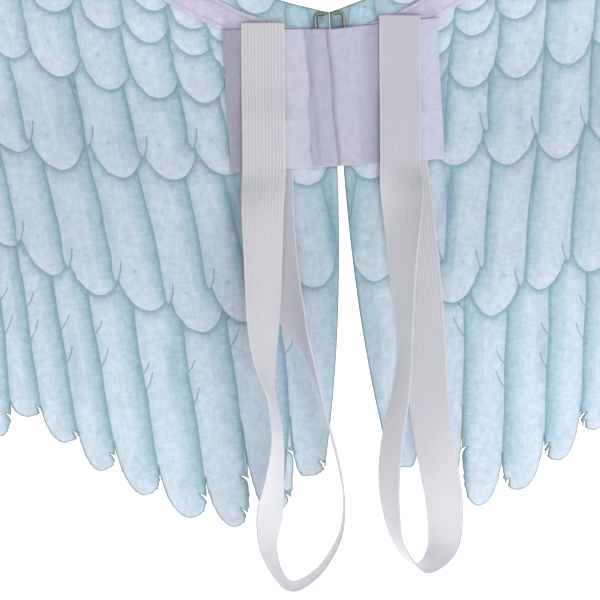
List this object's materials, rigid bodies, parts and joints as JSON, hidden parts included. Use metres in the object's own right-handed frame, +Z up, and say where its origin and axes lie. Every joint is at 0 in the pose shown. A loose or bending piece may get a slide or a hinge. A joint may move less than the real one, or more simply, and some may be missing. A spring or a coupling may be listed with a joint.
{
  "type": "costume angel wings",
  "caption": "Flat felt angel wings printed with feathers, joined by a back panel and worn on elastic arm loops.",
  "frame": {"origin": "the middle of the back panel, on the wings' centre line, at the level of the felt", "axes": "+X along the wings to the right as seen from the wearer's side, +Y away from the wearer's back, +Z up"},
  "size_m": [1.044, 0.1252, 0.4808],
  "materials": {
    "feather_felt": "matte printed felt, pale blue feathers with teal edges",
    "panel_felt": "matte pale lilac felt",
    "elastic": "white ribbed elastic with a slight sheen",
    "casing_cloth": "matte lilac pink non-woven cloth"
  },
  "bodies": {
    "root": {"wing_left": "feather_felt", "wing_right": "feather_felt", "back_panel": "panel_felt", "strap_left": "elastic", "strap_right": "elastic", "casing_left": "casing_cloth", "casing_right": "casing_cloth"}
  },
  "joints": []
}
